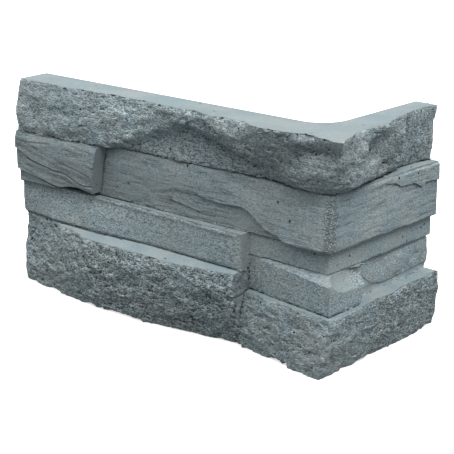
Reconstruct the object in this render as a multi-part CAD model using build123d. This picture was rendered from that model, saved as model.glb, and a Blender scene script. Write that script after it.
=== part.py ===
from build123d import *
from math import exp, pi, sin
from random import Random
import os

# Stone cladding corner piece: one casting that wraps the outside corner of a wall.
# The wall's corner stands at x = 0, y = 0.  The long leg runs towards -X and shows its
# face to -Y, the short leg runs towards +Y and shows its face to +X, and the casting
# stands on z = 0.  Sizes are in millimetres.

HEIGHT = 150.0
LONG_LEG = 254.0
SHORT_LEG = 95.0
INNER_RADIUS = 20.0

# Levels of the bed joints between the courses.
BASE_CORNER_TOP = 38.0
BASE_LEFT_TOP = 52.0
BAND_BOTTOM = 62.0
STRIP_BOTTOM = 76.5
TOP_COURSE_BOTTOM = 113.0

# Upright joints, measured from the wall's corner along each leg.
BASE_JOINT = 47.5
BAND_JOINT = 48.5
SLATE_JOINT = 180.0
CORNER_STONE_END = 7.0

# How far past its own edges a shaping body runs.
OVERRUN = 6.0

# The hewn faces: height and pitch of their swells, the size of the facets that the chisel
# left, how far a facet's corner strays from an even net as a part of that size, and how far
# it stands in or out on each stone.
SWELL = 0.7
SWELL_PITCH = 34.0
FACET_LENGTH = 5.0
FACET_HEIGHT = 3.9
FACET_STRAY = 0.2
TOP_CHIP = 0.55
HACKED_CHIP = 0.5
BASE_CHIP = 0.95
PLINTH_CHIP = 0.7

# Fronts of the stones.  Each row is a station, as a part of the leg's length from the
# wall's corner, and how far the face stands out from the wall at each level of the course,
# the levels being parts of the course's height.

TOP_LEVELS = (0.0, 0.12, 0.35, 0.72, 1.0)
TOP_LONG = (
    (-1.0, (29.0, 30.3, 30.4, 28.6, 25.0)),
    (-0.81, (28.0, 29.0, 29.3, 28.6, 26.3)),
    (-0.7, (25.5, 26.5, 27.0, 26.5, 24.0)),
    (-0.65, (23.0, 24.8, 25.5, 25.0, 21.8)),
    (-0.53, (18.5, 21.0, 23.0, 24.0, 22.5)),
    (-0.39, (17.5, 19.5, 22.0, 24.3, 22.0)),
    (-0.33, (17.0, 19.0, 22.0, 25.0, 23.5)),
    (-0.225, (15.5, 18.5, 23.0, 27.0, 25.5)),
    (-0.16, (14.0, 17.5, 24.5, 28.5, 30.0)),
    (-0.105, (14.0, 19.5, 25.5, 29.0, 33.0)),
    (-0.03, (18.0, 25.5, 28.0, 28.0, 31.0)),
    (0.03, (19.5, 26.3, 28.2, 26.8, 29.5)),
    (0.07, (16.5, 23.5, 26.5, 26.5, 30.0)),
    (0.14, (6.0, 12.0, 19.0, 26.0, 31.0)),
)
TOP_SHORT = (
    (-0.36, (6.0, 12.0, 20.0, 30.0, 35.0)),
    (-0.2, (15.5, 23.0, 27.0, 30.0, 31.0)),
    (-0.1, (19.5, 26.5, 28.8, 29.8, 28.8)),
    (0.21, (16.3, 22.5, 24.5, 24.5, 24.0)),
    (0.42, (13.8, 18.5, 21.0, 22.5, 22.5)),
    (0.58, (12.8, 16.5, 19.3, 21.0, 19.0)),
    (0.63, (9.5, 12.0, 13.5, 15.5, 17.3)),
    (0.74, (9.5, 12.0, 13.7, 15.3, 16.5)),
    (1.0, (13.0, 14.0, 15.0, 15.9, 16.9)),
)
# Blows that knocked a hollow into a face, and bosses left standing: place along the leg,
# level, half-length, half-height, slope of its line, and how far it moves the face.
TOP_LONG_KNOCKS = (
    (-0.43, 147, 18, 3.5, -0.1, 2.5),
    (-0.36, 152, 6, 4, 0.0, -3.0),
    (-0.28, 146, 14, 5, -0.3, 2.5),
    (-0.18, 150, 8, 5, 0.0, -3.0),
    (-0.91, 130, 9, 6, 0.3, -1.8),
    (-0.79, 123, 11, 5, -0.2, 1.2),
    (-0.62, 138, 12, 6, 0.2, 1.2),
    (0.04, 152, 13, 4, 0.0, -2.5),
    (0.04, 140, 15, 3.6, 0.2, -4.0),
    (-0.03, 122, 12, 6, 0.0, 1.5),
)
TOP_SHORT_KNOCKS = (
    (-0.02, 150, 8, 5, 0.0, -3.5),
    (0.0, 136, 7, 6, 0.0, 2.0),
    (0.17, 132, 9, 8, 0.0, -5.5),
    (0.3, 151, 5, 5, 0.0, 3.0),
    (0.3, 122, 6, 6, 0.4, -2.5),
    (0.08, 120, 10, 5, 0.2, 2.0),
)
# The piece that broke away under the arch in the long face: the arch's edge as parts of the
# leg and levels, how far the broken floor stands out at the foot and at the crown of the
# arch, and how steeply the broken edge falls to it.
ARCH = (
    (-0.65, 113.5), (-0.6, 119.0), (-0.51, 129.5), (-0.437, 135.0), (-0.375, 141.5),
    (-0.345, 139.0), (-0.25, 131.5), (-0.13, 123.5), (-0.105, 112.0)
)
ARCH_FOOT_OUT = 17.5
ARCH_CROWN_OUT = 14.5
ARCH_STEEPNESS = 2.2

SLATE_LEVELS = (0.0, 0.3, 0.62, 0.88, 1.0)
SLATE_LONG = (
    (-1.0, (31.5, 32.3, 32.8, 32.4, 31.0)),
    (-0.85, (29.5, 30.8, 31.2, 30.8, 29.4)),
    (-0.68, (28.5, 29.5, 30.0, 29.2, 27.6)),
)

STRIP_LEVELS = (0.0, 0.05, 0.3, 0.64, 0.7, 0.95, 1.0)
STRIP_LONG = (
    (-1.0, (18.0, 19.5, 19.5, 19.5, 19.5, 18.5, 17.5)),
    (-0.6, (18.0, 19.5, 19.5, 19.5, 19.4, 17.8, 16.8)),
    (-0.35, (18.5, 19.8, 20.0, 19.5, 19.2, 17.0, 16.0)),
    (-0.17, (20.7, 21.8, 21.4, 20.4, 19.8, 17.0, 14.8)),
    (-0.055, (22.3, 23.3, 22.3, 20.8, 20.5, 19.5, 18.5)),
    (0.047, (21.8, 23.0, 22.0, 20.5, 20.2, 19.3, 18.3)),
    (0.134, (18.5, 19.7, 19.2, 18.6, 18.5, 18.0, 17.2)),
)
STRIP_SHORT = (
    (-0.42, (19.3, 20.0, 19.9, 19.6, 19.5, 19.0, 18.0)),
    (0.4, (19.4, 20.4, 20.2, 20.3, 20.4, 20.5, 19.3)),
    (1.0, (19.6, 20.6, 20.7, 20.9, 21.0, 20.8, 19.2)),
)

RIBBON_LEVELS = (0.0, 0.08, 0.5, 0.92, 1.0)
RIBBON_LONG = (
    (-1.0, (24.0, 25.7, 26.2, 25.7, 24.2)),
    (-0.85, (27.5, 28.8, 27.0, 24.0, 22.5)),
    (-0.69, (27.0, 28.2, 26.3, 23.0, 21.5)),
    (-0.51, (23.5, 24.8, 24.3, 23.4, 22.0)),
    (-0.18, (24.5, 25.8, 26.0, 25.7, 24.2)),
)

BAND_LEVELS = (0.0, 1.0)
BAND_LONG = (
    (-0.2, (17.0, 16.0)),
    (0.16, (17.5, 16.5)),
)
BAND_SHORT = (
    (-0.42, (16.0, 15.5)),
    (0.42, (16.5, 16.0)),
    (1.0, (15.6, 15.3)),
)

CORNER_LEVELS = (0.0, 0.06, 1.0)
CORNER_LONG = (
    (-0.2, (14.3, 15.5, 17.3)),
    (-0.03, (20.0, 21.3, 21.8)),
    (0.1, (24.3, 25.5, 25.3)),
)
CORNER_SHORT = (
    (-0.42, (22.5, 23.6, 24.2)),
    (0.2, (22.5, 23.4, 22.6)),
)

HACKED_LEVELS = (0.0, 0.3, 0.7, 1.0)
HACKED_SHORT = (
    (0.0, (15.0, 16.0, 15.0, 13.5)),
    (0.32, (13.5, 14.5, 14.5, 13.0)),
    (0.53, (13.5, 15.0, 13.8, 12.3)),
    (0.76, (12.3, 14.0, 14.5, 12.7)),
    (1.0, (12.6, 13.4, 14.0, 12.3)),
)

BASE_LEVELS = (0.0, 0.32, 0.76, 1.0)
BASE_LONG = (
    (-1.0, (27.5, 27.8, 24.0, 24.0)),
    (-0.91, (28.5, 29.5, 27.5, 26.0)),
    (-0.81, (31.8, 35.0, 34.5, 31.5)),
    (-0.7, (34.8, 39.5, 40.5, 38.0)),
    (-0.5, (33.0, 37.5, 40.0, 38.0)),
    (-0.39, (27.6, 35.0, 39.5, 38.0)),
    (-0.24, (21.2, 29.0, 35.0, 33.5)),
    (-0.18, (21.0, 27.5, 33.0, 31.5)),
)

PLINTH_LEVELS = (0.0, 0.42, 0.9, 1.0)
PLINTH_LONG = (
    (-0.2, (24.8, 25.6, 23.3, 22.2)),
    (-0.11, (26.9, 27.2, 24.8, 23.8)),
    (0.055, (34.0, 32.2, 28.8, 27.8)),
    (0.16, (35.0, 33.8, 31.0, 30.0)),
)
PLINTH_SHORT = (
    (-0.42, (22.5, 26.2, 27.7, 26.7)),
    (0.15, (24.0, 26.6, 26.7, 25.7)),
    (0.42, (22.5, 25.7, 27.5, 26.6)),
    (0.65, (23.5, 24.7, 24.6, 23.6)),
    (1.0, (21.0, 23.0, 24.4, 23.6)),
)

# Underside of the slate block and the seams where its layers have flaked away: points as
# parts of the long leg, and levels.
SLATE_UNDERSIDE = (
    (-1.01, 86.3), (-0.937, 82.8), (-0.835, 78.6), (-0.79, 80.9), (-0.756, 81.2), (-0.7, 79.0)
)
SLATE_SEAM = (
    (-1.03, 103.5), (-0.988, 100.4), (-0.937, 94.8), (-0.886, 92.3), (-0.83, 89.4),
    (-0.787, 86.6), (-0.748, 82.9), (-0.67, 81.8)
)
SLATE_SHORT_SEAM = (
    (-0.84, 90.3), (-0.81, 95.6), (-0.77, 95.2), (-0.756, 92.9), (-0.724, 92.2), (-0.67, 90.5)
)
SLATE_FLAKE_DEPTH = 1.7
SLATE_SHORT_DEPTH = 0.8
SLATE_LEAN = 6.0

# The chip of slate that shows between that block and the ribbon below it.
CHIP_TOP = ((-1.0, 84.8), (-0.937, 81.3), (-0.843, 77.3))
CHIP_OUT = 28.6

# Ragged lower edges of the strip's outer layers, and how far the layer below each of them
# stands out, at the far end of the leg and at the wall's corner.
FLAKE_SEAM = (
    (-0.571, 76.0), (-0.545, 80.6), (-0.54, 85.5), (-0.508, 88.2), (-0.46, 92.0),
    (-0.378, 93.8), (-0.268, 92.2), (-0.173, 91.3), (-0.146, 86.9), (-0.114, 82.6),
    (-0.079, 81.0), (-0.053, 75.0)
)
INNER_SEAM = (
    (-0.48, 75.0), (-0.46, 86.5), (-0.4, 84.6), (-0.346, 82.4), (-0.24, 81.3),
    (-0.181, 79.8), (-0.15, 75.0)
)
LIP_SEAM = (
    (0.36, 76.0), (0.4, 84.0), (0.38, 96.0), (0.36, 109.5), (0.47, 108.4), (0.55, 104.8),
    (0.7, 104.1), (0.8, 99.5), (0.83, 102.0), (0.9, 101.9), (1.03, 100.5)
)
FLAKE_OUT = (20.2, 17.8)
INNER_OUT = (18.8, 17.0)
LIP_OUT = 19.5

# The stepped top of the fourth course's corner stone and the scoop out of its side.
CORNER_STONE_NOSE = (24.0, -24.5, 57.5)
SCOOP_CENTRE = (33.7, -6.0, 65.5)
SCOOP_RADII = (18.0, 24.0, 18.0)

# Fall of the ledge on the base course's long stone, and the slope beside the corner stone.
BASE_LEDGE_FALL = 2.6
BASE_LEDGE_BACK = 25.0
BASE_LEDGE_FRONT = 40.0
SILT_RISE = 9.0
SILT_LENGTH = 48.0


def on_long_leg(along, out, level):
    """A point on the long leg's side of the wall."""
    return Vector(along, -out, level)


def on_short_leg(along, out, level):
    """A point on the short leg's side of the wall."""
    return Vector(out, along, level)


def swell(along, level):
    """The broad rise and fall of a hewn face."""
    turn = 2 * pi / SWELL_PITCH
    return SWELL * (sin(turn * (along + level)) + sin(turn * (2 * level - along / 2))) / 2


def knocked(knocks, leg, along, level):
    """How far the blows and bosses move the face at one place."""
    move = 0
    for station, height, half_length, half_height, slope, depth in knocks:
        past = along - station * leg
        side = past / half_length
        up = (level - height - slope * past) / half_height
        move += depth * exp(-side * side - up * up)
    return move


def broken(arch, leg, along, level, out):
    """How far a face stands out where a piece of it broke away under an arch."""
    for (start, low), (end, high) in zip(arch, arch[1:]):
        part = (along / leg - start) / (end - start)
        if 0 <= part < 1:
            edge = low + (high - low) * part
            crown = max(z for station, z in arch)
            rise = (level - TOP_COURSE_BOTTOM) / (crown - TOP_COURSE_BOTTOM)
            floor = ARCH_FOOT_OUT + (ARCH_CROWN_OUT - ARCH_FOOT_OUT) * rise
            return min(out, max(floor, out - ARCH_STEEPNESS * (edge - level)))
    return out


def blend(low, high, part):
    """The values that lie the given part of the way from one row to the next."""
    return [a + (b - a) * part for a, b in zip(low, high)]


def denser(marks, rows, pitch):
    """Rows with more put between them, no farther apart than about the given pitch."""
    spaced = []
    for (start, low), (end, high) in zip(zip(marks, rows), zip(marks[1:], rows[1:])):
        count = max(1, round((end - start) / pitch))
        steps = [step / count for step in range(count)]
        spaced += [(start + (end - start) * part, blend(low, high, part)) for part in steps]
    spaced.append((marks[-1], rows[-1]))
    return spaced


def hewn(columns, heights, leg, chip, knocks, arch):
    """The corners of a hewn face's facets, as columns of (along, out, level)."""
    stray = Random(len(columns))
    places = [along for along, outs in columns]
    net = []
    for along, outs in denser(places, [outs for place, outs in columns], FACET_LENGTH):
        column = []
        for level, (out,) in denser(heights, [[out] for out in outs], FACET_HEIGHT):
            side = along + FACET_LENGTH * FACET_STRAY * stray.uniform(-1, 1)
            up = level + FACET_HEIGHT * FACET_STRAY * stray.uniform(-1, 1)
            face = broken(arch, leg, side, up, out + knocked(knocks, leg, side, up))
            column.append((side, face + swell(side, up) + chip * stray.uniform(-1, 1), up))
        net.append(column)
    return net


def facets(net):
    """Flat three-cornered faces between one column of points and the next."""
    turns = Random(len(net))
    faces = []
    for near, far in zip(net, net[1:]):
        for row in range(len(near) - 1):
            a, b, c, d = near[row], far[row], far[row + 1], near[row + 1]
            halves = ((a, b, c), (a, c, d)) if turns.random() < 0.5 else ((a, b, d), (b, c, d))
            faces += [Face(Wire.make_polygon(corners)) for corners in halves]
    return faces


def hewn_body(net, backs):
    """A closed body with a hewn front, a flat back and flat sides."""
    low_back = [back[0] for back in backs]
    top_back = [back[1] for back in backs]
    low_edge = [column[0] for column in net]
    top_edge = [column[-1] for column in net]
    outlines = [
        net[0] + [top_back[0], low_back[0]],
        net[-1] + [top_back[-1], low_back[-1]],
        low_edge + [low_back[-1], low_back[0]],
        top_edge + [top_back[-1], top_back[0]],
        [low_back[0], low_back[-1], top_back[-1], top_back[0]],
    ]
    flats = [Face(Wire.make_polygon(outline)) for outline in outlines]
    return Solid(Shell(facets(net) + flats))


def plain_body(sections, backs):
    """A closed body with a ruled front of straight strips."""
    rings = [line + [top, low] for line, (low, top) in zip(sections, backs)]
    return loft([Face(Wire.make_polygon(ring)) for ring in rings], ruled=True)


def front_body(place, leg, depth, levels, rows, low, high, chip, knocks, arch):
    """A body whose front is the stone's face and whose other sides run clear of it.

    A face with a chip is a hewn one; without, it is a plain one."""
    columns = [(station * leg, outs) for station, outs in rows]
    heights = [low + (high - low) * part for part in levels]
    if chip:
        net = hewn(columns, heights, leg, chip, knocks, arch)
    else:
        net = [[(along, out, z) for out, z in zip(outs, heights)] for along, outs in columns]
    first, last = columns[0][0] - OVERRUN, columns[-1][0] + OVERRUN
    net = [[(first, out, z) for along, out, z in net[0]]] + net
    net.append([(last, out, z) for along, out, z in net[-1]])
    floor, roof, behind = low - OVERRUN, high + OVERRUN, -depth - OVERRUN
    front, backs = [], []
    for column in net:
        foot, head = column[0], column[-1]
        tall = [(foot[0], foot[1], floor)] + column + [(head[0], head[1], roof)]
        front.append([place(*point) for point in tall])
        backs.append((place(foot[0], behind, floor), place(head[0], behind, roof)))
    return hewn_body(front, backs) if chip else plain_body(front, backs)


def slab(x_from, x_to, y_from, y_to, z_from, z_to):
    """A plain block between the given limits."""
    size = Box(x_to - x_from, y_to - y_from, z_to - z_from, align=(Align.MIN,) * 3)
    return Pos(x_from, y_from, z_from) * size


def long_stone(levels, rows, low, high, x_from, x_to, chip=0):
    """A stone that lies on the long leg only."""
    front = front_body(
        on_long_leg, LONG_LEG, SHORT_LEG, levels, rows, low, high, chip, (), ()
    )
    return slab(x_from, x_to, -SHORT_LEG, 0, low, high) & front


def short_stone(levels, rows, low, high, y_from, y_to, chip=0):
    """A stone that lies on the short leg only."""
    front = front_body(
        on_short_leg, SHORT_LEG, LONG_LEG, levels, rows, low, high, chip, (), ()
    )
    return slab(-INNER_RADIUS, SHORT_LEG, y_from, y_to, low, high) & front


def wrapped_stone(
    levels, long_rows, short_rows, low, high, x_from, y_to, chip=0, knocks=((), ()), arch=()
):
    """A stone that goes round the corner, with a face on each leg."""
    along = front_body(
        on_long_leg, LONG_LEG, SHORT_LEG, levels, long_rows, low, high, chip, knocks[0], arch
    )
    across = front_body(
        on_short_leg, SHORT_LEG, LONG_LEG, levels, short_rows, low, high, chip, knocks[1], ()
    )
    return slab(x_from, SHORT_LEG, -SHORT_LEG, y_to, low, high) & along & across


def on_leg(seam, leg):
    """The seam's points with their parts of the leg turned into places."""
    return [(part * leg, level) for part, level in seam]


def below(points, curved):
    """The upright face from a seam down past the foot of the second course."""
    lowest = STRIP_BOTTOM - OVERRUN
    end, start = points[-1], points[0]
    edge = Spline(*points) if curved else Polyline(*points)
    rest = Polyline(end, (end[0], lowest), (start[0], lowest), start)
    return Face(Wire(edge.edges() + rest.edges()))


def long_cut(seam, far_out, near_out, near_x=0, curved=False):
    """Takes away what stands in front of a slanting floor on the long leg, from a seam down."""
    face = Plane.XZ * below(on_leg(seam, LONG_LEG), curved)
    prism = extrude(face, SHORT_LEG, dir=(0, -1, 0))
    return beyond(
        prism, (-LONG_LEG, -far_out, 0), (-LONG_LEG, -far_out, HEIGHT),
        (near_x, -near_out, 0), (0, -1, 0),
    )


def short_cut(seam, floor):
    """Takes away what stands in front of floor on the short leg, from the seam down."""
    face = Plane.YZ.offset(floor) * below(on_leg(seam, SHORT_LEG), False)
    return extrude(face, SHORT_LEG, dir=(1, 0, 0))


def beyond(body, first, second, third, way):
    """The part of a body that lies on the given side of the plane through three points."""
    origin = Vector(*first)
    normal = (Vector(*second) - origin).cross(Vector(*third) - origin)
    side = Keep.TOP if normal.dot(Vector(*way)) > 0 else Keep.BOTTOM
    return split(body, bisect_by=Plane(origin=origin, z_dir=normal), keep=side)


def wall():
    """The wall's own corner, which the casting rounds off."""
    block = slab(
        -LONG_LEG - OVERRUN, 0, 0, SHORT_LEG + OVERRUN, -OVERRUN, HEIGHT + OVERRUN
    )
    arris = block.edges().filter_by(Axis.Z).sort_by(Axis.X)[2:].sort_by(Axis.Y)[0]
    return fillet(arris, INNER_RADIUS)


def top_course():
    return wrapped_stone(
        TOP_LEVELS, TOP_LONG, TOP_SHORT, TOP_COURSE_BOTTOM, HEIGHT, -LONG_LEG, SHORT_LEG,
        TOP_CHIP, (TOP_LONG_KNOCKS, TOP_SHORT_KNOCKS), ARCH,
    )


def slate_block():
    """The layered block at the far end, with its sloping underside and flaked seams."""
    head = -SLATE_JOINT + SLATE_LEAN
    block = long_stone(
        SLATE_LEVELS, SLATE_LONG, STRIP_BOTTOM, TOP_COURSE_BOTTOM, -LONG_LEG, head
    )
    far, near = SLATE_LONG[0][1][2], SLATE_LONG[-1][1][2]
    block -= long_cut(SLATE_UNDERSIDE, 0, 0)
    for seam, depth in (
        (SLATE_SEAM, SLATE_FLAKE_DEPTH), (SLATE_SHORT_SEAM, SLATE_SHORT_DEPTH)
    ):
        block -= long_cut(seam, far - depth, near - depth, -SLATE_JOINT)
    return beyond(
        block, (-SLATE_JOINT, 0, STRIP_BOTTOM), (-SLATE_JOINT, -SHORT_LEG, STRIP_BOTTOM),
        (head, 0, TOP_COURSE_BOTTOM), (-1, 0, 0),
    )


def slate_chip():
    """The thin tapering chip below the slate block."""
    top = on_leg(CHIP_TOP, LONG_LEG)
    outline = Polyline(*top, (top[-1][0], STRIP_BOTTOM), (top[0][0], STRIP_BOTTOM), close=True)
    return extrude(Plane.XZ * make_face(outline.edges()), CHIP_OUT, dir=(0, -1, 0))


def second_course():
    strip = wrapped_stone(
        STRIP_LEVELS, STRIP_LONG, STRIP_SHORT, STRIP_BOTTOM, TOP_COURSE_BOTTOM,
        -LONG_LEG, SHORT_LEG,
    )
    strip -= long_cut(FLAKE_SEAM, *FLAKE_OUT, curved=True)
    strip -= long_cut(INNER_SEAM, *INNER_OUT)
    strip -= short_cut(LIP_SEAM, LIP_OUT)
    return strip + slate_block() + slate_chip()


def third_course():
    ribbon = long_stone(
        RIBBON_LEVELS, RIBBON_LONG, BASE_LEFT_TOP, STRIP_BOTTOM, -LONG_LEG, -BASE_JOINT
    )
    band = wrapped_stone(
        BAND_LEVELS, BAND_LONG, BAND_SHORT, BAND_BOTTOM, STRIP_BOTTOM, -BAND_JOINT, SHORT_LEG
    )
    return ribbon + band


def corner_stone():
    """The fourth course's smooth stone, weathered down to its nose and scooped."""
    stone = wrapped_stone(
        CORNER_LEVELS, CORNER_LONG, CORNER_SHORT, BASE_CORNER_TOP, BAND_BOTTOM,
        -BAND_JOINT, CORNER_STONE_END + SILT_RISE,
    )
    back = BAND_LONG[0][1][0]
    weathered = beyond(
        stone, CORNER_STONE_NOSE, (-BAND_JOINT, -back, BAND_BOTTOM), (back, -back, BAND_BOTTOM),
        (0, 0, -1),
    )
    skewed = beyond(
        weathered, (SHORT_LEG, CORNER_STONE_END, BASE_CORNER_TOP),
        (0, CORNER_STONE_END, BASE_CORNER_TOP),
        (0, CORNER_STONE_END + SILT_RISE, BAND_BOTTOM), (0, -1, 0),
    )
    return skewed - Pos(*SCOOP_CENTRE) * scale(Sphere(1.0), by=SCOOP_RADII)


def silt():
    """The sloping fill between the corner stone, the hacked stone and the ledge."""
    out = CORNER_SHORT[-1][1][0]
    fill = slab(0, out, 0, SILT_LENGTH, BASE_CORNER_TOP, BASE_CORNER_TOP + SILT_RISE)
    return beyond(
        fill, (out, 0, BASE_CORNER_TOP), (0, SILT_LENGTH + out, BASE_CORNER_TOP),
        (0, 0, BASE_CORNER_TOP + 2 * SILT_RISE), (0, 0, -1),
    )


def fourth_course():
    hacked = short_stone(
        HACKED_LEVELS, HACKED_SHORT, BASE_CORNER_TOP, BAND_BOTTOM, 0, SHORT_LEG, HACKED_CHIP
    )
    return corner_stone() + hacked + silt()


def base_course():
    left = long_stone(
        BASE_LEVELS, BASE_LONG, 0, BASE_LEFT_TOP, -LONG_LEG, -BASE_JOINT, BASE_CHIP
    )
    fallen = beyond(
        left, (0, -BASE_LEDGE_BACK, BASE_LEFT_TOP), (-LONG_LEG, -BASE_LEDGE_BACK, BASE_LEFT_TOP),
        (0, -BASE_LEDGE_FRONT, BASE_LEFT_TOP - BASE_LEDGE_FALL), (0, 0, -1),
    )
    plinth = wrapped_stone(
        PLINTH_LEVELS, PLINTH_LONG, PLINTH_SHORT, 0, BASE_CORNER_TOP, -BASE_JOINT, SHORT_LEG,
        PLINTH_CHIP,
    )
    return fallen + plinth


def cladding_corner():
    body = top_course() + second_course() + third_course() + fourth_course() + base_course()
    return body - wall()


casting = cladding_corner()
os.makedirs("parts", exist_ok=True)
export_step(casting, "parts/cladding_corner.step")
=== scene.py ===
import math

import bpy
import bmesh
import numpy as np
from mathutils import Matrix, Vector, noise


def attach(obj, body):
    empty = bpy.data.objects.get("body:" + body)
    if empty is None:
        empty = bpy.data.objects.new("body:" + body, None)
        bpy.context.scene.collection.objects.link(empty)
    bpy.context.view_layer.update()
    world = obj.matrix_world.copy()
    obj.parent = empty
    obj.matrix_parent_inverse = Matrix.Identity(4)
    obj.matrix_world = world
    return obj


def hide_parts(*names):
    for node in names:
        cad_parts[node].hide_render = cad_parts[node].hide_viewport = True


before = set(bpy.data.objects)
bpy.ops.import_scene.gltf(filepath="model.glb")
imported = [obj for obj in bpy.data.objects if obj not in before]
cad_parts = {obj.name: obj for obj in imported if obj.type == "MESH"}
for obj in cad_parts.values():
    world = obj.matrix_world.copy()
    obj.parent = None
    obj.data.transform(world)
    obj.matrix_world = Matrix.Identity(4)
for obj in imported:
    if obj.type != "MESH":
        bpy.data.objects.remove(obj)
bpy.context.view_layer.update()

MM = 0.001

# The casting's own levels and joints, in millimetres.
HEIGHT = 150.0
LONG_LEG = 254.0
SHORT_LEG = 95.0
BASE_CORNER_TOP = 38.0
BASE_LEFT_TOP = 52.0
BAND_BOTTOM = 62.0
STRIP_BOTTOM = 76.5
TOP_COURSE_BOTTOM = 113.0
BASE_JOINT = 47.5
SLATE_JOINT = 180.0
CORNER_STONE_END = 12.0

# How far the slate's slanting end reaches past its joint, and how far out its face begins.
SLATE_SLANT = 3.0
SLATE_FRONT = 21.0
# How far past the base's joint its long stone's end face lies.
JOINT_REACH = 4.0

# The net of small squares, about a millimetre each.
NET_DEPTH = 8
NET_SCALE = 0.99
NET_SHARPNESS = 1.0
# Points this near a back plane lie on it, except near the inner corner.
FLAT_WITHIN = 0.35 * MM
CORNER_KEPT = 20.0 * MM
FLAT_ANGLE = math.radians(4)
CREASE_ANGLE = math.radians(38)

# The stones.
TOP, SLATE, STRIP, RIBBON, BAND, CORNER, HACKED, BASE, PLINTH = range(9)
SMOOTH = (SLATE, STRIP, RIBBON, BAND, CORNER)

# How rough each stone is: facets, lumps, grain, laminations and crumples, in millimetres.
ROUGH = {
    TOP: (0.32, 0.32, 0.42, 0.0, 0.0),
    SLATE: (0.0, 0.2, 0.10, 0.45, 0.10),
    STRIP: (0.0, 0.12, 0.08, 0.10, 0.30),
    RIBBON: (0.0, 0.15, 0.22, 0.0, 0.0),
    BAND: (0.0, 0.1, 0.05, 0.0, 0.0),
    CORNER: (0.0, 0.2, 0.15, 0.0, 0.0),
    HACKED: (0.12, 0.14, 0.25, 0.0, 0.0),
    BASE: (0.42, 0.42, 0.5, 0.0, 0.0),
    PLINTH: (0.35, 0.38, 0.42, 0.0, 0.0),
}

# How light each stone is beside the others.
SHADE = {
    TOP: 1.22, SLATE: 0.90, STRIP: 0.97, RIBBON: 0.94, BAND: 1.0, CORNER: 1.0, HACKED: 1.12,
    BASE: 1.16, PLINTH: 1.01,
}
# Painted shade: the share of its lightness that the top face keeps.
TOP_FACE_SHADE = 0.80
# How much of its own shade a stone keeps on its ledges, and how much lighter the silt is.
LEDGE_SHADE = 0.35
SILT_SHADE = 0.1
# How much darker the strip is at its far end, and between which places it darkens.
STRIP_FADE = 0.13
STRIP_FADE_PLACES = (-20.0, 40.0 - LONG_LEG)

# How much of the hewn stones' roughness each of them shows.
HEWN = {TOP: 1.0, HACKED: 0.4, BASE: 1.15, PLINTH: 1.0}
# Between these places along the short leg the top course loses this share of its relief.
FINE_PLACES = (48.0, 56.0)
FINE_SHARE = 0.5
# The least of an amount, and of facing the front, that counts.
LEAST_AMOUNT = 0.001
LEAST_FACING = 0.01

# Which way a point looks: how squarely out at the front, up on the top or along at an end.
FACING = (0.25, 0.75)
TOP_FACING = (0.7, 0.95)
TOP_FACE_DEPTH = 2.0
END_FACING = 0.7
# How squarely an end face must look along the long leg to get painted shade.
END_SHADE_FACING = (0.6, 0.9)
# Points this near an end lie on its cut, and this near the wall's faces on the back.
END_WITHIN = 0.5
BACK_WITHIN = 1.0

# The strip's outer corner in plan, which is pebbly, and how far the pebbles reach from it
# along the long leg; on the short leg the distance counts for less.
ARRIS = (20.5, -22.0)
ARRIS_REACH = 7.5
ARRIS_FULL = 0.3 * ARRIS_REACH
ARRIS_SHORT_SHARE = 0.6
ARRIS_PEBBLES = 0.7
PEBBLE_PATTERN = ((1.9, 1.9, 1.9), 2, 3.9)

# The top course's upper edge: how far below the top it is ragged, how much and in what pattern.
RAGGED_DEPTHS = (3.0, 0.5)
RAGGED = 2.2
RAGGED_PATTERN = ((4, 4, 9), 3, 6.3)

# How much fuller the ribbon's upper edge is, and between which levels.
RIBBON_EDGE = 1.2
RIBBON_EDGE_LEVELS = (73.0, 76.0)

# The roughened end of the base's long stone.
END_ROUGH = 1.2
END_PATTERN = ((6, 6, 4), 3, 2.7)

# Relief keeps this share at the ends and the base, and grows to all of it within so far.
EDGE_SHARE = 0.35
END_MARGIN = 3.0
BASE_MARGIN = 2.5

# Places worn soft: centre, radius and which stone. They are worn fully within the core's
# share of the radius. The hewn faces are only eased, by so much for how hewn they are.
WORN = (
    ((-47.5, -24.5, 64.0), 15.0, RIBBON),
    ((-120.0, -18.5, 80.0), 11.0, STRIP),
    ((-143.0, -19.3, 78.0), 7.0, STRIP),
)
WORN_CORE = 0.6
WORN_ROUNDS = 14
EASED_ROUNDS = 5
EASED_GAIN = 2

# Small blows on the top course: centre, half-sizes and how far each moves the face.
BLOWS = (
    ((2.0, -30.0, 143.5), (15.0, 12.0, 2.2), 0.7),
    ((2.0, -30.0, 150.0), (15.0, 12.0, 3.0), -1.0),
    ((25.0, 17.0, 149.0), (12.0, 10.0, 3.0), 1.0),
    ((25.0, 17.0, 139.0), (12.0, 10.0, 5.0), -1.5),
)

# The scoop in the corner stone, which runs out towards the hacked stone.
SCOOP = (33.7, -6.0, 65.5)
SCOOP_RADIUS = 18.0
SCOOP_SPREAD = (18.0, 24.0, 18.0)
SCOOP_SMOOTH = 1.1
SCOOP_END = 17.5
BELOW_BAND = 0.1

# Where the hewn stones are pitted more deeply: the stone, how much, and the places along an
# axis between which it grows.
PITTED = (
    (BASE, 1.0, ((0, -225, -150),)),
    (PLINTH, 1.0, ((1, 0, 30),)),
    (TOP, 0.5, ((0, -200, -160), (0, -30, -60))),
    (TOP, 0.7, ((1, 20, 40),)),
)
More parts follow.
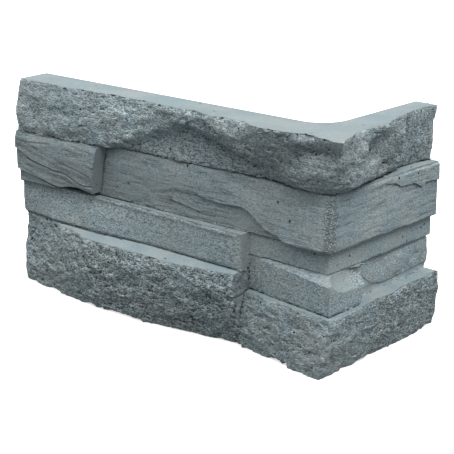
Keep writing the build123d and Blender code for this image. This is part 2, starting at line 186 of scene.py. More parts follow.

# Painted shade where the forms lie in shade, and painted light below zero: centre, half-sizes and
# how dark.
PAINTED_SHADE_AND_LIGHT = (
    ((-14.0, -29.0, 131.0), (24.0, 20.0, 12.0), 0.56),
    ((20.0, -29.0, 140.5), (13.0, 12.0, 3.0), 0.40),
    ((26.0, 17.0, 139.0), (15.0, 11.0, 9.0), 0.35),
    ((28.0, 40.0, 132.0), (20.0, 12.0, 14.0), 0.24),
    ((-142.0, -20.0, 132.0), (30.0, 20.0, 13.0), -0.50),
    ((-152.0, -22.0, 128.0), (18.0, 20.0, 9.0), -0.15),
    ((-64.0, -22.0, 127.0), (18.0, 20.0, 6.0), 0.30),
    ((2.0, -29.0, 144.0), (12.0, 12.0, 2.5), 0.32),
    ((-68.0, -27.0, 142.0), (16.0, 12.0, 6.0), 0.15),
    ((30.0, -8.0, 145.5), (10.0, 10.0, 4.5), 0.40),
    ((30.0, -9.0, 136.0), (10.0, 7.0, 4.5), -0.12),
    ((29.0, 1.0, 126.5), (10.0, 8.0, 4.5), -0.12),
    ((20.0, 40.0, 95.0), (12.0, 50.0, 18.0), -0.13),
)

# Cracks in the slate: how far the leaf below each stands out, and its line along and up.
SEAMS = (
    (0.7, ((-244, 94.5), (-217, 90), (-204, 89), (-194, 85), (-187, 83.5), (-180, 84))),
    (0.45, ((-208, 97), (-202, 95.5), (-188, 93), (-181, 91))),
    (0.4, ((-253, 107), (-243, 106.5), (-220, 108.5))),
)
SEAM_OVERRUN = 2.0
LEAF_BELOW = 1.8
LEAF_WIDTH = 1.6

# The lower edge of the hacked stone, along and up: below it lies smooth silt, between two
# distances from the wall. Its foot is kept free of painted shade in cracks and hollows, and of
# joints.
SILT_EDGE = ((17, 53), (20, 51), (29, 44.5), (40, 41.5), (55, 40.7), (75, 41.7), (95, 42))
SILT_FROM = 8.0
SILT_TO = 17.5
SILT_BLEND = 0.6
FOOT_ABOVE = 0.3
FOOT_BELOW = 1.0

# What stands for no line anywhere near, and what the back has instead of what is in front.
FAR = 20.0
BACK = {"shade": 1.0, "plain": 1.0, "silt_gap": FAR, "seam_0": FAR, "seam_1": FAR, "seam_2": FAR}

# The form of the noise, and the draws for the tilt and the lift of each facet.
SWELL_FORM = (0.9, 2.0)
FACET_TILT = 1.6
TILT_DRAW = 31.7
LIFT_DRAW = 17.3

# The layers: how they fall along and across, how they wave, how thick they are, how they
# change along the face and from one to the next, and how sharply each ends.
SLATE_FALL = 0.30
STRIP_FALL = 0.03
CROSS_FALL = 0.05
LAYER_WAVE = 1.6
WAVE_PATTERN = ((60, 60, 14), 3, 4.4)
LAYER = 2.4
LAYER_PATCH = 40
LAYER_PATTERN = (1.0, 2, 2.2)
LAYER_CHANGE = 3.7
LAYER_END = 0.35

# How many rounds of averaging show cracks, hollows and wide hollows, and what makes a joint.
CRACK_ROUNDS = 1
HOLLOW_ROUNDS = 3
DEEP_ROUNDS = 40
JOINT_HOLLOW = 0.3
JOINT_ROUNDS = 3
# How much plainer the scoop is, in its front and its sand.
SCOOP_PLAIN = 0.6
SCOOP_SANDLESS = 0.8


def fine_mesh(source):
    """The casting's surface as an even net of small squares."""
    copy = bpy.data.objects.new("net", source.data.copy())
    bpy.context.scene.collection.objects.link(copy)
    copy.modifiers.new("joined", "WELD")
    remesh = copy.modifiers.new("net", "REMESH")
    remesh.mode = "SHARP"
    remesh.octree_depth = NET_DEPTH
    remesh.scale = NET_SCALE
    remesh.sharpness = NET_SHARPNESS
    made = bpy.data.meshes.new_from_object(
        copy.evaluated_get(bpy.context.evaluated_depsgraph_get())
    )
    bpy.data.objects.remove(copy)
    return made


def on_back(vertex):
    """Whether a vertex lies on the flat hidden sides: the backs or the underside."""
    x, y, z = vertex.co
    long_back = abs(y) < FLAT_WITHIN and x < -CORNER_KEPT
    short_back = abs(x) < FLAT_WITHIN and y > CORNER_KEPT
    return long_back or short_back or z < FLAT_WITHIN


def merged_flats(mesh):
    """Makes the flat hidden sides of the mesh into large faces."""
    form = bmesh.new()
    form.from_mesh(mesh)
    verts = [v for v in form.verts if on_back(v)]
    inner = [v for v in verts if all(on_back(e.other_vert(v)) for e in v.link_edges)]
    edges = {e for v in inner for e in v.link_edges}
    bmesh.ops.dissolve_limit(
        form, angle_limit=FLAT_ANGLE, verts=inner, edges=list(edges),
        use_dissolve_boundaries=False,
    )
    bmesh.ops.triangulate(form, faces=[f for f in form.faces if len(f.verts) > 4])
    form.to_mesh(mesh)
    form.free()


def read(mesh):
    """Where the mesh's vertices are, in millimetres."""
    co = np.zeros(len(mesh.vertices) * 3)
    mesh.vertices.foreach_get("co", co)
    return co.reshape(-1, 3) / MM


def write(mesh, co):
    """Moves the mesh's vertices to the places given in millimetres."""
    mesh.vertices.foreach_set("co", (co * MM).ravel())
    mesh.update()


def normals(mesh):
    """Which way the surface looks at each vertex."""
    n = np.zeros(len(mesh.vertices) * 3)
    mesh.vertex_normals.foreach_get("vector", n)
    return n.reshape(-1, 3)


def neighbours(mesh):
    """The pairs of vertices that an edge joins."""
    pairs = np.zeros(len(mesh.edges) * 2, int)
    mesh.edges.foreach_get("vertices", pairs)
    return pairs.reshape(-1, 2)


def step(low, high, value):
    """Nothing at the low value, all at the high one, and smooth between them."""
    part = np.clip((value - low) / (high - low), 0, 1)
    return part * part * (3 - 2 * part)


def smoothed(values, pairs, rounds):
    """The values averaged with their neighbours', so many times over."""
    first = np.concatenate([pairs[:, 0], pairs[:, 1]])
    second = np.concatenate([pairs[:, 1], pairs[:, 0]])
    count = np.bincount(first, minlength=len(values))
    columns = values.reshape(len(values), -1).T
    for turn in range(rounds):
        columns = [
            0.5 * column + 0.5 * np.bincount(first, column[second], len(column)) / count
            for column in columns
        ]
    return np.array(columns).T.reshape(values.shape)


def bell(co, centre, reach):
    """One at the centre, fading all round it."""
    return np.exp(-(((co - centre) / reach) ** 2).sum(1))


def by_stone(table):
    """A table of the stones as an array in their order."""
    return np.array([table.get(stone, 0.0) for stone in range(len(SHADE))])


def swells(co, pitch, octaves, seed):
    """Fractal noise, about -1 to 1, whose broadest swells are a pitch apart."""
    spots = co / np.array(pitch) + seed
    return np.array([noise.fractal(p, *SWELL_FORM, octaves) for p in spots.tolist()])


def chips(co, pitch, seed):
    """Tilted facets about a pitch across that meet at sharp ridges, about -1 to 1."""
    out = []
    for p in (co / np.array(pitch) + seed).tolist():
        centre = noise.voronoi(p)[1][0]
        tilt = noise.cell_vector(centre * TILT_DRAW)
        slope = (Vector(p) - centre).dot(tilt) * FACET_TILT
        out.append(slope + noise.cell(centre * LIFT_DRAW) - 0.5)
    return np.array(out)


def layers(co):
    """Thin layers that end in small steps, leaning on the slate and near level elsewhere."""
    fall = np.where(stone_of(co) == SLATE, SLATE_FALL, STRIP_FALL)
    level = co[:, 2] + fall * co[:, 0] - CROSS_FALL * co[:, 1]
    level = level + LAYER_WAVE * swells(co, *WAVE_PATTERN)
    part = level / LAYER
    rank = np.floor(part)
    along = co[:, :2] / LAYER_PATCH
    draw = rank * LAYER_CHANGE
    this = swells(np.column_stack([along, draw]), *LAYER_PATTERN)
    last = swells(np.column_stack([along, draw - LAYER_CHANGE]), *LAYER_PATTERN)
    return last + (this - last) * step(0.0, LAYER_END, part - rank)


# The patterns of a stone's roughness, in the order of its amounts, with their settings.
PATTERNS = (
    (chips, (5.5, 5.5, 2.9), 8.7),
    (swells, (10, 10, 5), 4, 5.5),
    (swells, (3.8, 3.8, 1.9), 2, 1.3),
    (layers,),
    (swells, (11, 11, 2.6), 4, 7.1),
)


def stone_of(co):
    """Which stone each point of the surface belongs to."""
    x, y, z = co.T
    course = np.full(len(co), PLINTH)
    course[(z < BASE_LEFT_TOP) & (x < -BASE_JOINT)] = BASE
    fourth = (z >= BASE_CORNER_TOP) & (z < BAND_BOTTOM) & (x >= -BASE_JOINT)
    course[fourth] = CORNER
    course[fourth & (y > CORNER_STONE_END)] = HACKED
    course[(z >= BAND_BOTTOM) & (z < STRIP_BOTTOM)] = BAND
    course[(z >= BASE_LEFT_TOP) & (z < STRIP_BOTTOM) & (x < -BASE_JOINT)] = RIBBON
    second = (z >= STRIP_BOTTOM) & (z < TOP_COURSE_BOTTOM)
    course[second] = STRIP
    course[second & (x < -SLATE_JOINT + SLATE_SLANT) & (-y > SLATE_FRONT)] = SLATE
    course[z >= TOP_COURSE_BOTTOM] = TOP
    return course


def outward(co):
    """The level direction in which each point of the face looks away from the wall."""
    away = np.stack([np.maximum(co[:, 0], 0), np.minimum(co[:, 1], 0)], 1)
    length = np.linalg.norm(away, axis=1)
    near = length < BACK_WITHIN
    away[near] = (0, -1)
    away[near & (co[:, 1] > 0)] = (1, 0)
    away /= np.linalg.norm(away, axis=1)[:, None]
    return np.column_stack([away, np.zeros(len(co))])


def from_arris(co):
    """How far each point lies along the face from the strip's outer corner."""
    return np.maximum(ARRIS[0] - co[:, 0], ARRIS_SHORT_SHARE * (co[:, 1] - ARRIS[1]))


def seams(co, kind):
    """How far above each crack of the slate every point is, or far off beside it."""
    gaps = []
    for lip, points in SEAMS:
        along, up = np.array(points, float).T
        gap = co[:, 2] - np.interp(co[:, 0], along, up)
        within = (kind == SLATE) & (co[:, 0] > along[0]) & (co[:, 0] < along[-1] + SEAM_OVERRUN)
        gaps.append(np.where(within, gap, FAR * np.sign(gap)))
    return gaps


def pitted(co, stone):
    """Where the hewn stones are pitted more deeply."""
    total = np.zeros(len(co))
    for kind, amount, ranges in PITTED:
        part = amount * (stone == kind)
        for axis, start, full in ranges:
            part = part * step(start, full, co[:, axis])
        total += part
    return total


def spread(amount, co, pattern, *settings):
    """The pattern times its amount, worked out only where there is any."""
    there = amount > LEAST_AMOUNT
    out = np.zeros(len(co))
    out[there] = amount[there] * pattern(co[there], *settings)
    return out


def shade(co, stone):
    """How light each point's stone is, with the painted shade and painted light and the strip's
    darker far end.
    """
    far = step(*STRIP_FADE_PLACES, co[:, 0]) * (stone == STRIP)
    painted_shade_and_light = sum(dark * bell(co, centre, reach) for centre, reach, dark in PAINTED_SHADE_AND_LIGHT)
    return by_stone(SHADE)[stone] * (1 - STRIP_FADE * far) * (1 - painted_shade_and_light)


def end_cut(co):
    """Which points lie on the cut ends."""
    return (co[:, 0] < END_WITHIN - LONG_LEG) | (co[:, 1] > SHORT_LEG - END_WITHIN)


def relief(co, stone, pebbly, leaf):
    """How far each point of the front stands out of the solid's own face."""
    z = co[:, 2]
    amounts = by_stone(ROUGH)[stone].T
    rise = np.zeros(len(co))
    for amount, (pattern, *settings) in zip(amounts, PATTERNS):
        rise = rise + spread(amount, co, pattern, *settings)
    ragged = step(*RAGGED_DEPTHS, HEIGHT - z)
    rise = rise + spread(ARRIS_PEBBLES * pebbly, co, swells, *PEBBLE_PATTERN)
    rise = rise + np.minimum(spread(RAGGED * ragged, co, swells, *RAGGED_PATTERN), 0)
    rise = rise + leaf
    rise = rise + RIBBON_EDGE * step(*RIBBON_EDGE_LEVELS, z) * (stone == RIBBON)
    for centre, reach, height in BLOWS:
        rise += height * bell(co, centre, reach)
    return rise * (1 - FINE_SHARE * step(*FINE_PLACES, co[:, 1]) * (stone == TOP))


class Surface:
    """The casting's surface: its points, and what the solid says about each of them."""

    def __init__(self, mesh):
        self.mesh = mesh
        self.co = read(mesh)
        self.pairs = neighbours(mesh)
        self.stone = stone_of(self.co)
        self.out = outward(self.co)
        x, y, z = self.co.T
        normal = normals(mesh)
        self.facing = step(*FACING, (normal * self.out).sum(1))
        self.hewn = self.facing * by_stone(HEWN)[self.stone]
        self.top_face = step(*TOP_FACING, normal[:, 2]) * (z > HEIGHT - TOP_FACE_DEPTH)
        end_face = (normal[:, 0] > END_FACING) & (x < -BASE_JOINT + JOINT_REACH)
        self.rough_end = end_face & (self.stone == BASE)
        self.find_silt()

    def find_silt(self):
        """Marks the smooth silt below the hacked stone, and its foot on the ledge."""
        x, y, z = self.co.T
        edge = np.interp(y, *np.array(SILT_EDGE, float).T)
        beside = (self.stone == HACKED) & (x > SILT_FROM) & (x < SILT_TO)
        gap = z - edge
        self.silt_gap = np.where(beside, gap, FAR * np.sign(gap))
        self.silt = beside * step(SILT_BLEND, -SILT_BLEND, self.silt_gap)
        low = (z < edge + FOOT_ABOVE) & (z > BASE_CORNER_TOP - FOOT_BELOW)
        self.foot = low & (x > SILT_FROM) & (y > CORNER_STONE_END)

    def run_out(self):
        """Cuts the scoop's trough on towards the hacked stone, and marks all of the scoop."""
        x, y, z = self.co.T
        rise = (z - SCOOP[2]) / SCOOP_RADIUS
        trough = SCOOP[0] - SCOOP_RADIUS * np.sqrt(np.clip(1 - rise * rise, 0, 1))
        fourth = (z > BASE_CORNER_TOP) & (z < BAND_BOTTOM - BELOW_BAND) & (x > 0)
        past = fourth & (y > SCOOP[1]) & (y < SCOOP_END) & (np.abs(rise) < 1)
        self.co[past, 0] = np.minimum(self.co[past, 0], trough[past])
        apart = (((self.co - SCOOP) / SCOOP_SPREAD) ** 2).sum(1)
        self.scooped = fourth & (apart < SCOOP_SMOOTH)

    def wear(self):
        """Softens the worn places, and eases the solid's facets on the hewn faces."""
        worn = smoothed(self.co, self.pairs, WORN_ROUNDS)
        for centre, radius, kind in WORN:
            near = np.linalg.norm(self.co - np.array(centre), axis=1)
            weight = step(radius, WORN_CORE * radius, near) * (self.stone == kind)
            self.co = self.co + (worn - self.co) * weight[:, None]
        soft = smoothed(self.co, self.pairs, EASED_ROUNDS)
        back = ((soft - self.co) * self.out).sum(1) * np.minimum(self.hewn * EASED_GAIN, 1)
        self.co = self.co + self.out * back[:, None]

    def roughen(self):
        """Gives each stone its own relief."""
        co, stone = self.co, self.stone
        ends = step(0, END_MARGIN, co[:, 0] + LONG_LEG) * step(0, END_MARGIN, SHORT_LEG - co[:, 1])
        beds = step(0, BASE_MARGIN, co[:, 2])
        keep = EDGE_SHARE + (1 - EDGE_SHARE) * ends * beds
        self.pebbly = step(ARRIS_REACH, ARRIS_FULL, from_arris(co)) * (stone == STRIP)
        self.gaps = seams(co, stone)
        leaf = sum(
            lip * np.exp(-(((gap + LEAF_BELOW) / LEAF_WIDTH) ** 2))
            for (lip, points), gap in zip(SEAMS, self.gaps)
        )
        seen = self.facing > LEAST_FACING
        move = np.zeros(len(co))
        move[seen] = relief(co[seen], stone[seen], self.pebbly[seen], leaf[seen])
        move *= self.facing * keep
        co = co + self.out * move[:, None]
        co[self.rough_end, 0] += END_ROUGH * swells(co[self.rough_end], *END_PATTERN)
        self.co = co
        write(self.mesh, co)

    def marks(self):
        """What the colour needs to know of each point, by name."""
        co, pairs, stone = self.co, self.pairs, self.stone
        normal = normals(self.mesh)
        # How concave each point is, finely, broadly and widely: the colour paints shade where it
        # is concave and a highlight where it is convex.
        crack_shade, hollow, deep_shade = (
            ((smoothed(co, pairs, rounds) - co) * normal).sum(1)
            for rounds in (CRACK_ROUNDS, HOLLOW_ROUNDS, DEEP_ROUNDS)
        )
        joint = smoothed((hollow > JOINT_HOLLOW).astype(float), pairs, JOINT_ROUNDS)
        dry = 1 - self.silt
        front = np.maximum(self.facing, self.rough_end) * (1 - SCOOP_PLAIN * self.scooped)
        # End faces near the base's joint, which get painted shade except on the ribbon.
        end = step(*END_SHADE_FACING, normal[:, 0]) * (co[:, 0] < -BASE_JOINT + JOINT_REACH)
        found = {
            "crack_shade": np.where(self.foot, np.minimum(crack_shade, 0), crack_shade),
            "silt_gap": self.silt_gap,
            "hollow": np.where(self.foot, np.minimum(hollow, 0), hollow),
            "deep_shade": deep_shade * self.hewn,
            "rough": np.maximum(self.hewn, self.rough_end) * dry,
            "pitted": pitted(co, stone) * np.minimum(self.hewn, 1),
            "front": front * dry,
            "shade": shade(co, stone) * (1 + SILT_SHADE * self.silt),
            "plain": np.isin(stone, SMOOTH).astype(float),
            "layered": self.facing * np.isin(stone, (SLATE, STRIP)),
            "sandy": np.isin(stone, (RIBBON, CORNER)) * (1 - SCOOP_SANDLESS * self.scooped),
            "pebbly": self.pebbly,
            "joint": joint * ~self.foot,
            "ends": end * (stone != RIBBON),
        }
        for number, gap in enumerate(self.gaps):
            found["seam_%d" % number] = gap
        return found

    def keep(self):
        """Stores the marks on the mesh, with a plain back, the shade fading on the ledges and
        painted shade on the top face.
        """
        co = self.co
        inside = (co[:, 0] < BACK_WITHIN) & (co[:, 1] > -BACK_WITHIN)
        kept = {
            name: np.where(inside, BACK.get(name, 0.0), values)
            for name, values in self.marks().items()
        }
        part = np.maximum(self.facing, LEDGE_SHADE * ~end_cut(co))
        kept["shade"] = 1 + (kept["shade"] - 1) * part
        # Painted shade darkens the top face.
        kept["shade"] *= 1 - (1 - TOP_FACE_SHADE) * self.top_face
        for name, values in kept.items():
            layer = self.mesh.attributes.new(name, "FLOAT", "POINT")
            layer.data.foreach_set("value", values)


# The colours that the patterns lay over each other.
TONE = {
    "blue": (0.195, 0.249, 0.268, 1),
    "pale": (0.240, 0.279, 0.288, 1),
    "streak": (0.12, 0.155, 0.17, 1),
    "grain_dark": (0.045, 0.062, 0.07, 1),
    "grain_light": (0.45, 0.53, 0.55, 1),
    "dots": (0.05, 0.06, 0.065, 1),
    "pits": (0.03, 0.037, 0.04, 1),
    "pebble_dark": (0.12, 0.14, 0.145, 1),
    "pebble_light": (0.46, 0.53, 0.54, 1),
    "cold": (0.978, 1.0, 1.02, 1),
    "warm": (1.012, 1.0, 0.99, 1),
    # Painted shade in crevices, creases, cracks and wide hollows, a painted highlight on ridges,
    # and painted shade on the end faces.
    "crevice_shade": (0.05, 0.063, 0.07, 1),
    "crease_shade": (0.06, 0.072, 0.078, 1),
    "crack_shade": (0.03, 0.036, 0.04, 1),
    "ridge_highlight": (0.38, 0.44, 0.45, 1),
    "deep_shade": (0.08, 0.10, 0.105, 1),
    "ends": (0.11, 0.125, 0.12, 1),
    "hole": (0.012, 0.015, 0.016, 1),
}
# The noise of each pattern: its scale, its detail and, where it isn't 0.6, its roughness.
NOISE = {
    "blotch": (38.0, 3.0),
    "streak": (1.0, 4.0, 0.7),
    "patch": (24.0, 2.0),
    "speck": (1.0, 2.0, 0.8),
    "coarse": (0.45, 3.0, 0.75),
    "hue": (42.0, 2.0),
    "wobble": (75.0, 3.0),
    "width": (160.0, 2.0),
}
# Where each pattern sets in and where it is full, and how strong it is at either.
RANGE = {
    "blotch": (0.35, 0.65),
    "streak": (0.5, 0.66),
    "patch": (0.42, 0.6),
    "soft_grain": (0.36, 0.64),
    "hard_grain": (0.43, 0.57),
    "dots": (0.37, 0.30, 0.0, 0.6),
    "pits": (0.38, 0.30, 0.0, 0.7),
    "pebble": (0.55, 0.2),
    "hue": (0.38, 0.62),
    # Painted shade in crevices and creases, the bed joints, painted shade in cracks, a painted
    # highlight on ridges and painted shade in wide hollows.
    "crevice_shade": (0.10, 0.45, 0.0, 0.65),
    "crease_shade": (0.025, 0.16, 0.0, 0.55),
    "bed": (1.3, 0.5, 0.0, 0.75),
    "crack_shade": (0.08, 0.22, 0.0, 0.8),
    "ridge_highlight": (-0.05, -0.4, 0.0, 0.36),
    "deep_shade": (0.15, 1.8, 0.0, 0.18),
    "hole": (0.19, 0.10),
}
# A number, and what each of the values beside it adds.
WEIGHT = {
    "coarse": (0.05, 0.22),
    "grain": (0.28, 0.28, 0.25, 0.20),
    "front": (0.25, 0.75),
    "lively": (0.35, 2.4, 1.4),
    "wobble": (-0.0012, 0.0024),
    "width": (-0.00015, 0.0014),
}
STREAK_SCALE = (45.0, 45.0, 480.0)
STREAK_TILT = math.radians(-3)
STREAK_SHARE = 0.30
STREAK_DEPTH = 0.8
GRAIN_SCALE = (560.0, 560.0, 1300.0)
SPECK_RISE = 0.6
PEBBLE_SCALE = 620.0
PEBBLE_SHARE = 0.6
PEBBLE_RISE = 1.5
# How much painted shade the end faces get.
END_SHADE_SHARE = 0.28
# Thin dark lines at a gap: how far above it, how wide, and how dark each is. The lines at the
# slate's cracks are painted shade.
LINE_ABOVE = 0.3
LINE_WIDTHS = (0.75, 0.3)
LINES = {"silt_gap": 0.5, "seam_0": 0.8, "seam_1": 0.65, "seam_2": 0.6}
# Pores: how close they lie, which of them open, and how many more at joints and pebbles.
PORE_SCALE = 190.0
PORE_ABOVE = 0.93
PORES_AT_JOINTS = 0.4
PORES_AT_PEBBLES = 0.2
STONE_ROUGHNESS = 0.92
STONE_SHEEN = 0.25
BUMP = 0.5 * MM


class Nodes:
    """A short hand for putting a material's nodes together."""

    # The sockets of a colour mix and of a range.
    PART, FIRST, SECOND, MIXED = 0, 6, 7, 2
    RANGE_VALUE, RANGE_ENDS = 0, (1, 2, 3, 4)

    def __init__(self, tree):
        self.tree = tree
        self.values = {}

    def new(self, kind, **settings):
        """A new node with its settings."""
        node = self.tree.nodes.new(kind)
        for name, value in settings.items():
            setattr(node, name, value)
        return node

    def feed(self, node, socket, value):
        """Links another node's output to a socket, or sets the socket to a constant."""
        target = node.inputs[socket]
        if hasattr(value, "is_output"):
            self.tree.links.new(value, target)
        else:
            target.default_value = value

    def value(self, name):
        """What the mesh keeps under a name."""
        if name not in self.values:
            node = self.new("ShaderNodeAttribute", attribute_name=name)
            self.values[name] = node.outputs["Fac"]
        return self.values[name]

    def math(self, operation, *values):
        """The result of one operation on numbers and outputs."""
        node = self.new("ShaderNodeMath", operation=operation)
        for socket, value in enumerate(values):
            self.feed(node, socket, value)
        return node.outputs[0]

    def weighted(self, name, first, *others):
        """A number plus each value times its weight."""
        start, weight, *weights = WEIGHT[name]
        total = self.math("MULTIPLY_ADD", first, weight, start)
        for value, weight in zip(others, weights):
            total = self.math("ADD", total, self.math("MULTIPLY", value, weight))
        return total

    def ramp(self, value, low, high, start=0.0, end=1.0):
        """A smooth rise from the start to the end as the value goes from low to high."""
        node = self.new("ShaderNodeMapRange", interpolation_type="SMOOTHSTEP")
        self.feed(node, self.RANGE_VALUE, value)
        for socket, number in zip(self.RANGE_ENDS, (low, high, start, end)):
            self.feed(node, socket, number)
        return node.outputs[0]

    def grain(self, place, scale, detail, roughness=0.6):
        """Fractal noise, about 0 to 1."""
        node = self.new("ShaderNodeTexNoise")
        self.feed(node, "Vector", place)
        self.feed(node, "Scale", scale)
        self.feed(node, "Detail", detail)
        self.feed(node, "Roughness", roughness)
        return node.outputs[0]

    def pattern(self, place, name):
        """A noise between the values where it sets in and is full."""
        return self.ramp(self.grain(place, *NOISE[name]), *RANGE[name])

    def cells(self, place, scale):
        """A pattern of cells round scattered points."""
        node = self.new("ShaderNodeTexVoronoi")
        self.feed(node, "Vector", place)
        self.feed(node, "Scale", scale)
        return node

    def stretched(self, place, scale, tilt=0.0):
        """The place as the patterns see it, stretched and tilted along the long leg."""
        node = self.new("ShaderNodeMapping")
        self.feed(node, 0, place)
        self.feed(node, "Rotation", (0.0, tilt, 0.0))
        self.feed(node, "Scale", scale)
        return node.outputs[0]

    def mix(self, part, first, second, blend="MIX"):
        """The first colour with a part of the second over it."""
        node = self.new("ShaderNodeMix", data_type="RGBA", blend_type=blend)
        self.feed(node, self.PART, part)
        self.feed(node, self.FIRST, first)
        self.feed(node, self.SECOND, second)
        return node.outputs[self.MIXED]

    def marked(self, tone, name, source, *limits):
        """The tone with one kind of mark over it where its source is strong."""
        part = self.ramp(source, *RANGE[name])
        for limit in limits:
            part = self.math("MULTIPLY", part, limit)
        return self.mix(part, tone, TONE[name])


def joint_and_shadow_lines(n, place):
    """The thin dark bed joints between the courses, partly painted shadow under each course's
    lower edge.
    """
    split = n.new("ShaderNodeSeparateXYZ")
    n.feed(split, 0, place)
    x, z = split.outputs[0], split.outputs[2]
    wobble = n.weighted("wobble", n.grain(place, *NOISE["wobble"]))
    width = n.weighted("width", n.grain(place, *NOISE["width"]))
    near_end = n.math("GREATER_THAN", x, -BASE_JOINT * MM)
    lines = None
    for level, side in (
        (TOP_COURSE_BOTTOM, None), (STRIP_BOTTOM, None), (BAND_BOTTOM, near_end),
        (BASE_LEFT_TOP, n.math("SUBTRACT", 1.0, near_end)),
    ):
        gap = n.math("SUBTRACT", n.math("ADD", z, wobble), level * MM)
        off = n.math("DIVIDE", n.math("ABSOLUTE", gap), width)
        line = n.ramp(off, *RANGE["bed"])
        if side:
            line = n.math("MULTIPLY", line, side)
        lines = n.math("MAXIMUM", lines, line) if lines else line
    return lines


def streaks(n, place):
    """Thin streaks along the layers, in patches."""
    streak = n.pattern(n.stretched(place, STREAK_SCALE, STREAK_TILT), "streak")
    layered = n.math("MULTIPLY", streak, n.value("layered"))
    return n.math("MULTIPLY", layered, n.pattern(place, "patch"))


def grains(n, place):
    """The fine grain, the coarse grain, and what each stone shows of both."""
    flat = n.stretched(place, GRAIN_SCALE)
    speck = n.grain(flat, *NOISE["speck"])
    coarse = n.grain(flat, *NOISE["coarse"])
    share = n.weighted("coarse", n.value("rough"))
    apart = n.math("MULTIPLY", n.math("SUBTRACT", coarse, speck), share)
    return speck, coarse, n.math("ADD", speck, apart)


def grained(n, tone, both):
    """The tone with the light and dark of the grain."""
    strength = n.weighted("grain", n.value("rough"), n.value("sandy"), n.value("pitted"))
    strength = n.math("MULTIPLY", strength, n.weighted("front", n.value("front")))
    soft, hard = n.ramp(both, *RANGE["soft_grain"]), n.ramp(both, *RANGE["hard_grain"])
    harder = n.math("MULTIPLY", n.math("SUBTRACT", hard, soft), n.value("pitted"))
    grain = n.math("ADD", soft, harder)
    return n.mix(strength, tone, n.mix(grain, TONE["grain_dark"], TONE["grain_light"]))


def tinted(n, place, tone):
    """The tone a little colder or warmer from place to place, times its stone's shade, which
    carries painted shade and painted light.
    """
    tint = n.mix(n.pattern(place, "hue"), TONE["cold"], TONE["warm"])
    tone = n.mix(1.0, tone, tint, "MULTIPLY")
    return n.mix(1.0, tone, n.value("shade"), "MULTIPLY")


def lined(n, place, tone):
    """The tone with the dark bed joints, partly painted shadow, painted shade along the cracks of
    the slate, and a dark line at the edge of the silt.
    """
    lines = joint_and_shadow_lines(n, place)
    for name, dark in LINES.items():
        gap = n.math("ABSOLUTE", n.math("SUBTRACT", n.value(name), LINE_ABOVE))
        lines = n.math("MAXIMUM", lines, n.ramp(gap, *LINE_WIDTHS, 0.0, dark))
    return n.mix(n.math("MULTIPLY", lines, n.value("front")), tone, TONE["crack_shade"])


def painted_light_and_lines(n, place, tone):
    """The tone with painted shade in hollows, creases, cracks and wide hollows, the dark lines, a
    painted highlight on ridges and painted shade on the end faces.
    """
    rough, hollow = n.value("rough"), n.value("hollow")
    off_joint = n.math("SUBTRACT", 1.0, n.value("joint"))
    # Painted shade in the hollows of the hewn faces.
    tone = n.marked(tone, "crevice_shade", hollow, rough)
    # Painted shade in the creases of the layered stones, away from the joints.
    tone = n.marked(tone, "crease_shade", hollow, n.value("layered"), off_joint)
    tone = lined(n, place, tone)
    # Painted shade in the fine concave cracks.
    tone = n.marked(tone, "crack_shade", n.value("crack_shade"))
    # A painted highlight on the convex ridges of the hewn faces.
    tone = n.marked(tone, "ridge_highlight", hollow, rough)
    # Painted shade in the wide hollows of the hewn faces.
    tone = n.marked(tone, "deep_shade", n.value("deep_shade"))
    # Painted shade on the end faces.
    return n.mix(n.math("MULTIPLY", n.value("ends"), END_SHADE_SHARE), tone, TONE["ends"])


def pores(n, place):
    """A few small round holes, more of them along the joints and between the pebbles."""
    cells = n.cells(place, PORE_SCALE)
    pick = n.new("ShaderNodeSeparateColor")
    n.feed(pick, 0, cells.outputs["Color"])
    at_joints = n.math("MULTIPLY", n.value("joint"), PORES_AT_JOINTS)
    likely = n.math("MULTIPLY", at_joints, n.value("plain"))
    likely = n.math("ADD", likely, n.math("MULTIPLY", n.value("pebbly"), PORES_AT_PEBBLES))
    chosen = n.math("GREATER_THAN", n.math("ADD", pick.outputs[0], likely), PORE_ABOVE)
    return n.math("MULTIPLY", n.ramp(cells.outputs["Distance"], *RANGE["hole"]), chosen)


def bumps(n, both, speck, streaky, hole, pebble):
    """The finest relief, livelier on the rough and pitted stones."""
    height = n.math("ADD", both, n.math("MULTIPLY", speck, SPECK_RISE))
    lively = n.weighted("lively", n.value("rough"), n.value("pitted"))
    height = n.math("MULTIPLY", height, lively)
    height = n.math("SUBTRACT", height, n.math("MULTIPLY", streaky, STREAK_DEPTH))
    height = n.math("SUBTRACT", height, hole)
    stones = n.math("MULTIPLY", n.value("pebbly"), PEBBLE_RISE)
    height = n.math("ADD", height, n.math("MULTIPLY", pebble, stones))
    bump = n.new("ShaderNodeBump")
    n.feed(bump, "Strength", 1.0)
    n.feed(bump, "Distance", BUMP)
    n.feed(bump, "Height", height)
    return bump.outputs[0]


def material_nodes(name):
    """A new material, its shader and the short hand for its nodes."""
    material = bpy.data.materials.new(name)
    material.use_nodes = True
    tree = material.node_tree
    return material, tree.nodes["Principled BSDF"], Nodes(tree)


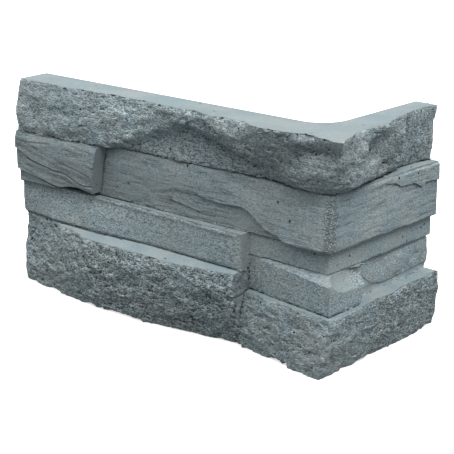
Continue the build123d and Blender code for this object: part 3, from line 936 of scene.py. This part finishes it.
def stone_material():
    """The cast stone, from its broad tones to its finest marks."""
    material, shader, n = material_nodes("cast_stone_dressed")
    place = n.new("ShaderNodeNewGeometry").outputs["Position"]
    tone = n.mix(n.pattern(place, "blotch"), TONE["blue"], TONE["pale"])
    streaky = streaks(n, place)
    tone = n.mix(n.math("MULTIPLY", streaky, STREAK_SHARE), tone, TONE["streak"])
    speck, coarse, both = grains(n, place)
    tone = grained(n, tone, both)
    tone = n.marked(tone, "dots", speck, n.value("plain"))
    tone = n.marked(tone, "pits", coarse, n.value("rough"))
    pebble = n.ramp(n.cells(place, PEBBLE_SCALE).outputs["Distance"], *RANGE["pebble"])
    pebble_tone = n.mix(pebble, TONE["pebble_dark"], TONE["pebble_light"])
    tone = n.mix(n.math("MULTIPLY", n.value("pebbly"), PEBBLE_SHARE), tone, pebble_tone)
    tone = painted_light_and_lines(n, place, tinted(n, place, tone))
    hole = pores(n, place)
    n.feed(shader, "Base Color", n.mix(hole, tone, TONE["hole"]))
    n.feed(shader, "Roughness", STONE_ROUGHNESS)
    n.feed(shader, "Specular IOR Level", STONE_SHEEN)
    n.feed(shader, "Normal", bumps(n, both, speck, streaky, hole, pebble))
    return material


# The studio: a pale floor that glows a little, a sky that is bright above, and a soft sun.
FLOOR_REACH = 8.0
FLOOR_BELOW = 0.2 * MM
FLOOR_TONES = ((0.86, 0.86, 0.86, 1), (0.88, 0.88, 0.88, 1))
FLOOR_CLOUDS = (2.0, 2.0)
FLOOR_ROUGHNESS = 0.95
FLOOR_GLOW = 0.5
SKY_TONES = ((0.18, 0.20, 0.21, 1), (2.42, 2.40, 2.36, 1))
SUN_BEARING = (71, 57)
SUN_STRENGTH = 1.4
SUN_WIDTH = math.radians(25)

# The photograph's view: where the camera stands, its bearing and height in degrees, and its
# lens, from the focal length and the side of the photograph in pixels.
CAMERA_PLACE = (0.5054, -0.6661, 0.3430)
CAMERA_BEARING = (41.36, 17.15)
SENSOR = 36.0
FOCAL_PIXELS = 1408.4
PHOTO_PIXELS = 454.0
CLIP = (0.05, 50.0)


def floor_material():
    """The near white floor, faintly clouded."""
    material, shader, n = material_nodes("studio_floor")
    place = n.new("ShaderNodeNewGeometry").outputs["Position"]
    n.feed(shader, "Base Color", n.mix(n.grain(place, *FLOOR_CLOUDS), *FLOOR_TONES))
    n.feed(shader, "Roughness", FLOOR_ROUGHNESS)
    n.feed(shader, "Emission Color", (1.0, 1.0, 1.0, 1.0))
    n.feed(shader, "Emission Strength", FLOOR_GLOW)
    return material


def floor():
    """A wide floor just below the piece."""
    mesh = bpy.data.meshes.new("floor")
    far = FLOOR_REACH
    corners = [(-far, -far, 0), (far, -far, 0), (far, far, 0), (-far, far, 0)]
    mesh.from_pydata(corners, [], [(0, 1, 2, 3)])
    mesh.materials.append(floor_material())
    plane = bpy.data.objects.new("floor", mesh)
    plane.location.z = -FLOOR_BELOW
    plane.visible_diffuse = False
    bpy.context.scene.collection.objects.link(plane)


def studio_sky():
    """A sky that is dim at the horizon and bright overhead."""
    world = bpy.data.worlds.new("studio")
    bpy.context.scene.world = world
    world.use_nodes = True
    n = Nodes(world.node_tree)
    background = n.tree.nodes["Background"]
    split = n.new("ShaderNodeSeparateXYZ")
    n.feed(split, 0, n.new("ShaderNodeTexCoord").outputs["Generated"])
    up = n.ramp(split.outputs[2], 0.0, 1.0)
    n.feed(background, 0, n.mix(up, *SKY_TONES))
    background.inputs[1].default_value = 1.0


def looking_from(name, data, bearing, height):
    """A lamp or camera that looks at the piece from a bearing and a height, in degrees."""
    a, e = math.radians(bearing), math.radians(height)
    back = Vector((math.sin(a) * math.cos(e), -math.cos(a) * math.cos(e), math.sin(e)))
    item = bpy.data.objects.new(name, data)
    item.rotation_mode = "QUATERNION"
    item.rotation_quaternion = (-back).to_track_quat("-Z", "Y")
    bpy.context.scene.collection.objects.link(item)
    return item


def sun():
    """The soft key light from the upper right."""
    light = bpy.data.lights.new("key", "SUN")
    light.energy = SUN_STRENGTH
    light.angle = SUN_WIDTH
    looking_from("key", light, *SUN_BEARING)


def photo_camera():
    """The camera at the photograph's viewing angle, distance and framing."""
    data = bpy.data.cameras.new("camera")
    data.sensor_width = SENSOR
    data.lens = SENSOR * FOCAL_PIXELS / PHOTO_PIXELS
    data.clip_start, data.clip_end = CLIP
    camera = looking_from("camera", data, *CAMERA_BEARING)
    camera.location = CAMERA_PLACE
    bpy.context.scene.camera = camera


def casting():
    """The dressed casting, which stands for the solid in the picture."""
    mesh = fine_mesh(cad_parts["cladding_corner"])
    merged_flats(mesh)
    mesh.name = "stone_casting"
    surface = Surface(mesh)
    surface.run_out()
    surface.wear()
    surface.roughen()
    surface.keep()
    mesh.materials.clear()
    mesh.materials.append(stone_material())
    piece = bpy.data.objects.new("stone_casting", mesh)
    bpy.context.scene.collection.objects.link(piece)
    mesh.polygons.foreach_set("use_smooth", [True] * len(mesh.polygons))
    mesh.set_sharp_from_angle(angle=CREASE_ANGLE)
    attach(piece, "root")
    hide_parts("cladding_corner")


casting()
floor()
studio_sky()
sun()
photo_camera()
bpy.context.scene.view_settings.view_transform = "Standard"
